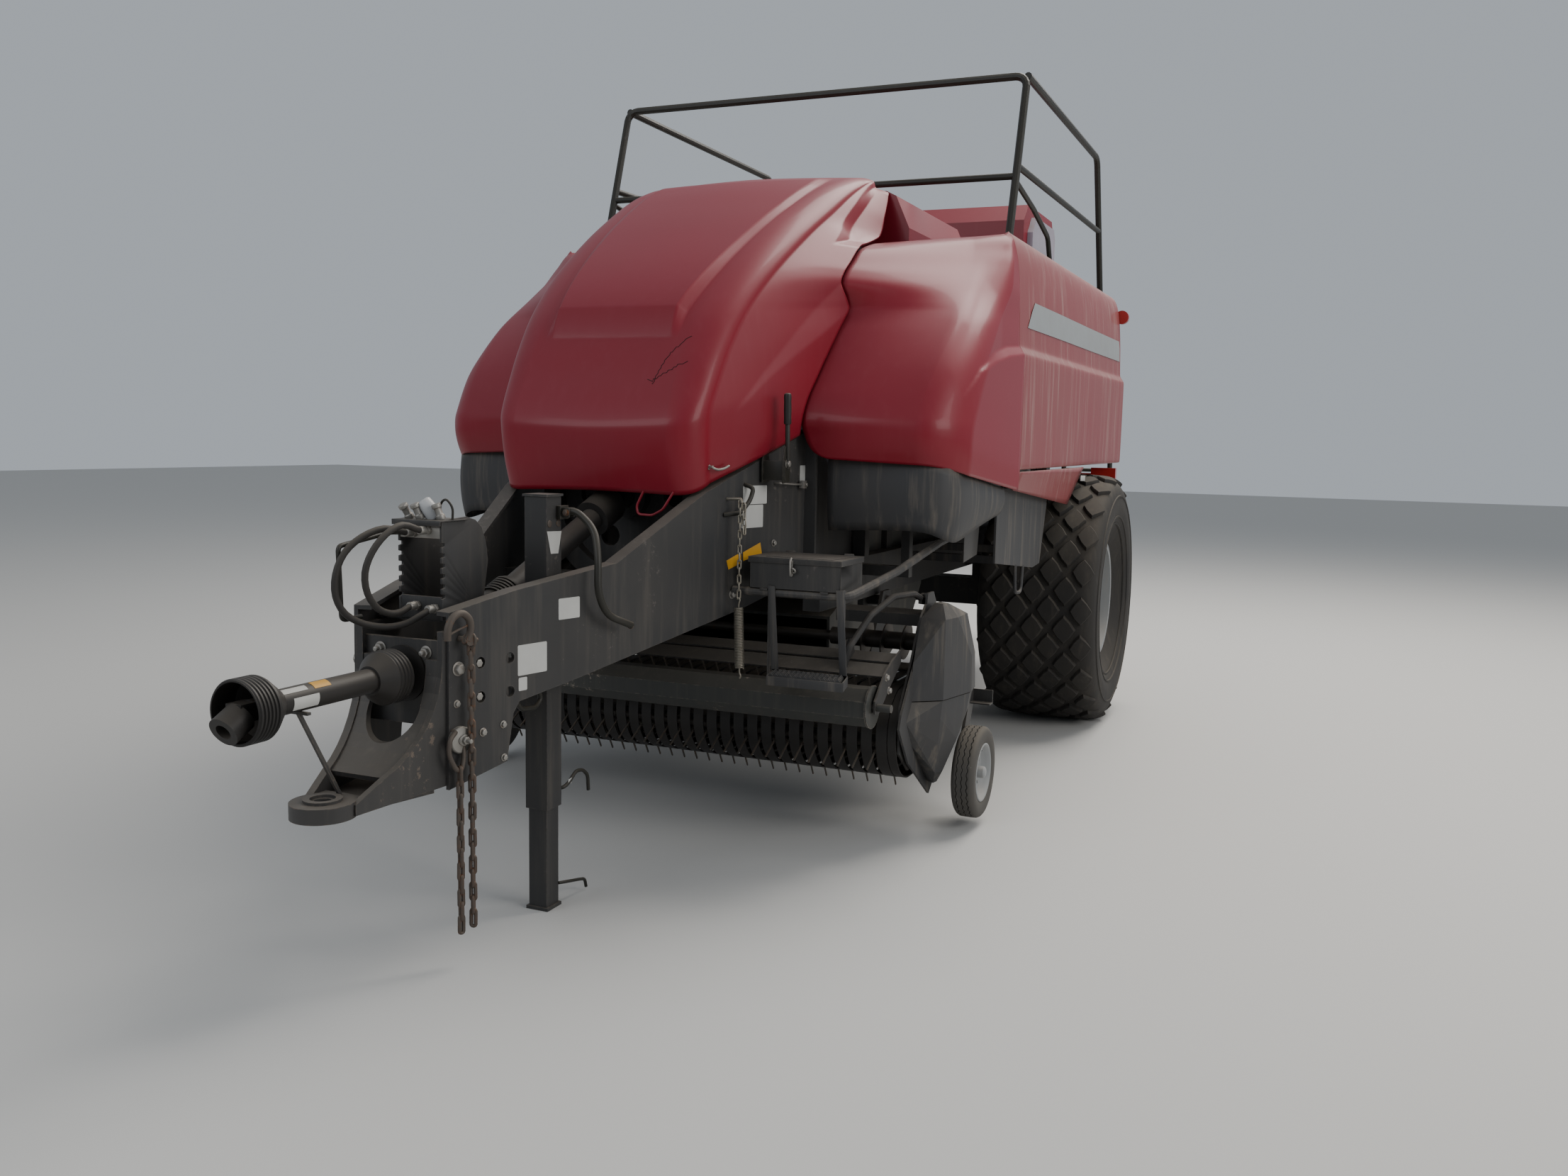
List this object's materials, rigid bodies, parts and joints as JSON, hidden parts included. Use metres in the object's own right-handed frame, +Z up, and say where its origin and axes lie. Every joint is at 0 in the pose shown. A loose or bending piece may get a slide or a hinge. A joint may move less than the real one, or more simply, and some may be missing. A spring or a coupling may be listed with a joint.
{
  "type": "large square baler",
  "caption": "Towed baler with moulded front panels, sloping tongue, jack, pickup, press tunnel, wide wheels, guard rails and chute.",
  "frame": {"origin": "centre of the machine's box at the ground, midway between the front shaft's tip and the chute's rear end", "axes": "+X is the machine's left, +Y its rear and +Z up; it stands on its wheels and front jack"},
  "size_m": [3, 8.6184, 3.5999],
  "materials": {
    "red_panel": "faded moulded plastic, glossy on upright faces",
    "frame_grey": "dark grey paint, dusty",
    "hitch_worn": "worn paint and light rust",
    "black_plastic": "black moulded guard",
    "tyre": "dusty tread rubber",
    "rim_grey": "light grey paint",
    "chamber_grey": "dark grey paint, polished inside",
    "pale_cover": "pale grey moulded plastic",
    "skirt_grey": "dark grey moulded plastic",
    "rail_black": "near black paint",
    "worn_steel": "worn steel with some rust",
    "chain_steel": "rusty steel",
    "hose_rubber": "black rubber hose",
    "lamp_red": "red lamp lens"
  },
  "bodies": {
    "chassis": {"tongue_plates": "frame_grey", "hitch_head": "hitch_worn", "driveline_bearing": "black_plastic", "rear_shaft": "black_plastic", "gearbox": "frame_grey", "main_frame": "frame_grey", "axle_beam": "frame_grey", "bale_chamber": "chamber_grey", "feed_duct": "chamber_grey", "tension_frame": "frame_grey", "panel_frame": "frame_grey", "twine_boxes": "chamber_grey", "top_cover": "red_panel", "knotter_cover": "red_panel", "knotter_ends": "pale_cover", "platform": "frame_grey", "shield_left": "red_panel", "shield_right": "red_panel", "skirts": "skirt_grey", "wheel_flaps": "skirt_grey", "guard_rails": "rail_black", "ladder": "rail_black", "jack_tube": "frame_grey", "jack_crank": "frame_grey", "hose_rack": "frame_grey", "hoses": "hose_rubber", "safety_chain": "chain_steel", "toolbox": "skirt_grey", "step_frame": "frame_grey", "hand_rail": "frame_grey", "brake_lever": "rail_black", "lift_spring": "worn_steel", "rear_lights": "lamp_red"},
    "front_shaft": {"pto_shaft": "black_plastic"},
    "flywheel": {"flywheel": "frame_grey"},
    "wheel_left": {"tyre_left": "tyre", "rim_left": "rim_grey"},
    "wheel_right": {"tyre_right": "tyre", "rim_right": "rim_grey"},
    "bale_chute": {"chute": "frame_grey"},
    "hood": {"hood": "red_panel", "hood_frame": "frame_grey"},
    "side_door_left": {"door_left": "red_panel"},
    "side_door_right": {"door_right": "red_panel"},
    "parking_jack": {"jack_leg": "frame_grey"},
    "toolbox_lid": {"toolbox_lid": "skirt_grey"},
    "pickup": {"pickup_frame": "frame_grey", "pickup_bands": "frame_grey", "pickup_shields": "skirt_grey"},
    "reel": {"pickup_reel": "worn_steel"},
    "gauge_wheel_left": {"gauge_left": "tyre"},
    "gauge_wheel_right": {"gauge_right": "tyre"},
    "windguard": {"windguard_arms": "frame_grey"},
    "windguard_roller": {"windguard_roller": "frame_grey"},
    "augers": {"stub_augers": "worn_steel"}
  },
  "joints": [
    {"name": "wheel_left_spin", "type": "hinge", "parent": "chassis", "child": "wheel_left", "pos_m": [1.145, 1.315, 0.77], "axis": [1, 0, 0], "continuous": true},
    {"name": "wheel_right_spin", "type": "hinge", "parent": "chassis", "child": "wheel_right", "pos_m": [-1.145, 1.315, 0.77], "axis": [1, 0, 0], "continuous": true},
    {"name": "front_shaft_raise", "type": "hinge", "parent": "chassis", "child": "front_shaft", "pos_m": [0, -3.585, 0.955], "axis": [-1, 0, 0], "range_deg": [0, 12]},
    {"name": "flywheel_spin", "type": "hinge", "parent": "chassis", "child": "flywheel", "pos_m": [0, -2.085, 1.48], "axis": [0, 1, 0], "continuous": true},
    {"name": "hood_open", "type": "hinge", "parent": "chassis", "child": "hood", "pos_m": [0, -0.81, 2.93], "axis": [-1, 0, 0], "range_deg": [0, 50]},
    {"name": "side_door_left_open", "type": "hinge", "parent": "chassis", "child": "side_door_left", "pos_m": [1.215, 1.315, 2.702], "axis": [0, -1, 0], "range_deg": [0, 70]},
    {"name": "side_door_right_open", "type": "hinge", "parent": "chassis", "child": "side_door_right", "pos_m": [-1.215, 1.315, 2.702], "axis": [0, 1, 0], "range_deg": [0, 70]},
    {"name": "jack_extend", "type": "slide", "parent": "chassis", "child": "parking_jack", "axis": [0, 0, 1], "range_m": [0, 0.35]},
    {"name": "toolbox_lid_open", "type": "hinge", "parent": "chassis", "child": "toolbox_lid", "pos_m": [0.76, -1.906, 1.26], "axis": [-1, 0, 0], "range_deg": [0, 100]},
    {"name": "pickup_lift", "type": "hinge", "parent": "chassis", "child": "pickup", "pos_m": [0, -0.885, 0.95], "axis": [-1, 0, 0], "range_deg": [-1.5, 9]},
    {"name": "reel_spin", "type": "hinge", "parent": "pickup", "child": "reel", "pos_m": [0, -1.635, 0.49], "axis": [1, 0, 0], "continuous": true},
    {"name": "gauge_wheel_left_spin", "type": "hinge", "parent": "pickup", "child": "gauge_wheel_left", "pos_m": [1.306, -1.262, 0.25], "axis": [1, 0, 0], "continuous": true},
    {"name": "gauge_wheel_right_spin", "type": "hinge", "parent": "pickup", "child": "gauge_wheel_right", "pos_m": [-1.306, -1.262, 0.25], "axis": [1, 0, 0], "continuous": true},
    {"name": "windguard_float", "type": "hinge", "parent": "pickup", "child": "windguard", "pos_m": [0, -1.425, 1.04], "axis": [-1, 0, 0], "range_deg": [0, 5]},
    {"name": "windguard_roller_spin", "type": "hinge", "parent": "windguard", "child": "windguard_roller", "pos_m": [0, -2.025, 0.665], "axis": [1, 0, 0], "continuous": true},
    {"name": "auger_spin", "type": "hinge", "parent": "pickup", "child": "augers", "pos_m": [0, -1.245, 0.815], "axis": [1, 0, 0], "continuous": true},
    {"name": "chute_fold", "type": "hinge", "parent": "chassis", "child": "bale_chute", "pos_m": [0, 3.295, 1.185], "axis": [1, 0, 0], "range_deg": [0, 80]}
  ]
}
